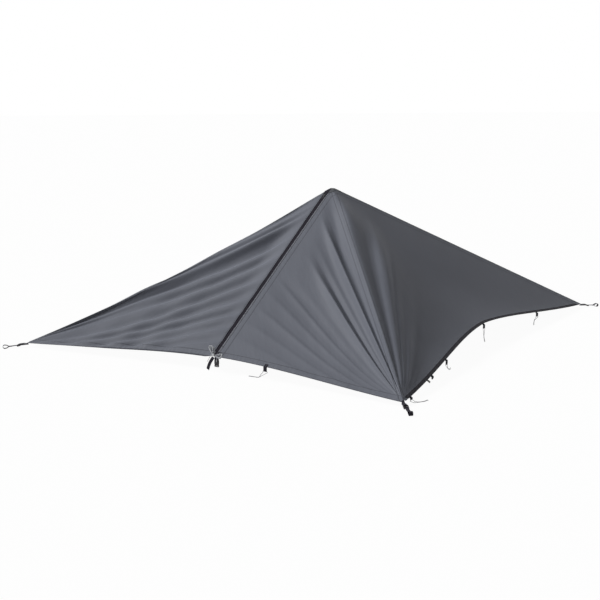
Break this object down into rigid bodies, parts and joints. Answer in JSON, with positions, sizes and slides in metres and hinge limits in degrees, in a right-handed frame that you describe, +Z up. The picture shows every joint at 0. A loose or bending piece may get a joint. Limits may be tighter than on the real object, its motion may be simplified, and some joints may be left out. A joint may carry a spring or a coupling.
{
  "type": "camping tarp",
  "caption": "Low four-sided pyramid tarp on one telescopic pole, with a zipped door panel, bound side edges, corner straps with ladder locks and a wound guy line.",
  "frame": {"origin": "on the ground at the middle of the pole's foot, under the peak", "axes": "+X along the long ridge to the right corner, -Y to the front corner and the side with the zip, +Z up"},
  "size_m": [4.3204, 3.9986, 0.954],
  "materials": {
    "cloth_grey": "plain woven coated cloth",
    "cloth_dark": "plain woven coated cloth",
    "webbing_black": "woven webbing",
    "zip_black": "moulded coil on woven tape",
    "plastic_black": "moulded, fine grain",
    "slider_metal": "black lacquered die casting",
    "tube_aluminium": "drawn and anodised",
    "eyelet_metal": "plated",
    "rubber_black": "moulded",
    "cord_grey": "braided cord",
    "wrap_silver": "wound reflective cord",
    "label_blank": "plain woven tape"
  },
  "bodies": {
    "canopy": {"left_panel": "cloth_grey", "right_panel": "cloth_grey", "back_right_panel": "cloth_grey", "back_left_panel": "cloth_grey", "zip_tape_left": "zip_black", "zip_top_stop": "slider_metal", "peak_cap": "cloth_dark", "peak_patch": "webbing_black", "peak_eyelet": "eyelet_metal", "pole_tip": "plastic_black", "pole_upper_tube": "tube_aluminium", "right_binding": "webbing_black", "back_right_binding": "webbing_black", "edge_tab_1": "webbing_black", "edge_tab_2": "webbing_black", "edge_tab_3": "webbing_black", "edge_cord_1": "cord_grey", "edge_cord_2": "cord_grey", "edge_cord_3": "cord_grey", "back_edge_tab_1": "webbing_black", "back_edge_tab_2": "webbing_black", "back_edge_tab_3": "webbing_black", "back_hem_tab": "webbing_black", "front_tab": "webbing_black", "front_cord": "cord_grey", "tie_tab": "webbing_black", "edge_label": "label_blank", "left_corner_webbing": "webbing_black", "right_corner_webbing": "webbing_black", "front_corner_webbing": "webbing_black", "back_corner_webbing": "webbing_black", "left_ladder_lock": "plastic_black", "right_ladder_lock": "plastic_black", "front_ladder_lock": "plastic_black", "back_ladder_lock": "plastic_black"},
    "door": {"door_panel": "cloth_grey", "zip_tape_door": "zip_black", "foot_webbing": "webbing_black", "foot_buckle_socket": "plastic_black", "foot_strap_tail": "webbing_black", "guy_line_hank": "cord_grey", "guy_line_wrap": "wrap_silver", "hem_tab": "webbing_black", "hem_cord": "cord_grey"},
    "slider": {"zip_slider": "slider_metal"},
    "pull": {"zip_pull": "zip_black"},
    "buckle_plug": {"foot_buckle_plug": "plastic_black"},
    "pole_lower": {"pole_lower_tube": "tube_aluminium", "pole_foot": "rubber_black", "pole_clamp_collar": "plastic_black", "pole_clamp_pin": "eyelet_metal"},
    "lever": {"pole_clamp_lever": "plastic_black"},
    "strap_left": {"left_peg_strap": "webbing_black"},
    "strap_right": {"right_peg_strap": "webbing_black"},
    "strap_front": {"front_peg_strap": "webbing_black"},
    "strap_back": {"back_peg_strap": "webbing_black"}
  },
  "joints": [
    {"name": "door_swing", "type": "hinge", "parent": "canopy", "child": "door", "pos_m": [-0.24, -1.85367, 0.02791], "axis": [0.115, 0.8881, 0.445], "range_deg": [0, 170]},
    {"name": "slider_run", "type": "slide", "parent": "canopy", "child": "slider", "axis": [-0.6286, -0.5649, -0.5346], "range_m": [0, 1.41]},
    {"name": "pull_swing", "type": "hinge", "parent": "slider", "child": "pull", "pos_m": [-0.06612, -0.03136, 0.91751], "axis": [-0.6771, 0.7356, 0.0188], "range_deg": [0, 165]},
    {"name": "buckle_release", "type": "slide", "parent": "door", "child": "buckle_plug", "axis": [0, 0, -1], "range_m": [0, 0.022]},
    {"name": "pole_slide", "type": "slide", "parent": "canopy", "child": "pole_lower", "axis": [0, 0, 1], "range_m": [-0.15, 0.2]},
    {"name": "lever_swing", "type": "hinge", "parent": "pole_lower", "child": "lever", "pos_m": [0, -0.0181, 0.526], "axis": [-1, 0, 0], "range_deg": [0, 110]},
    {"name": "strap_left", "type": "slide", "parent": "canopy", "child": "strap_left", "axis": [-0.999, 0, -0.0436], "range_m": [-0.025, 0.045]},
    {"name": "strap_right", "type": "slide", "parent": "canopy", "child": "strap_right", "axis": [0.999, 0, -0.0436], "range_m": [-0.025, 0.045]},
    {"name": "strap_front", "type": "slide", "parent": "canopy", "child": "strap_front", "axis": [-0.1283, -0.9908, -0.0436], "range_m": [-0.025, 0.045]},
    {"name": "strap_back", "type": "slide", "parent": "canopy", "child": "strap_back", "axis": [-0.1283, 0.9908, -0.0436], "range_m": [-0.025, 0.045]}
  ]
}
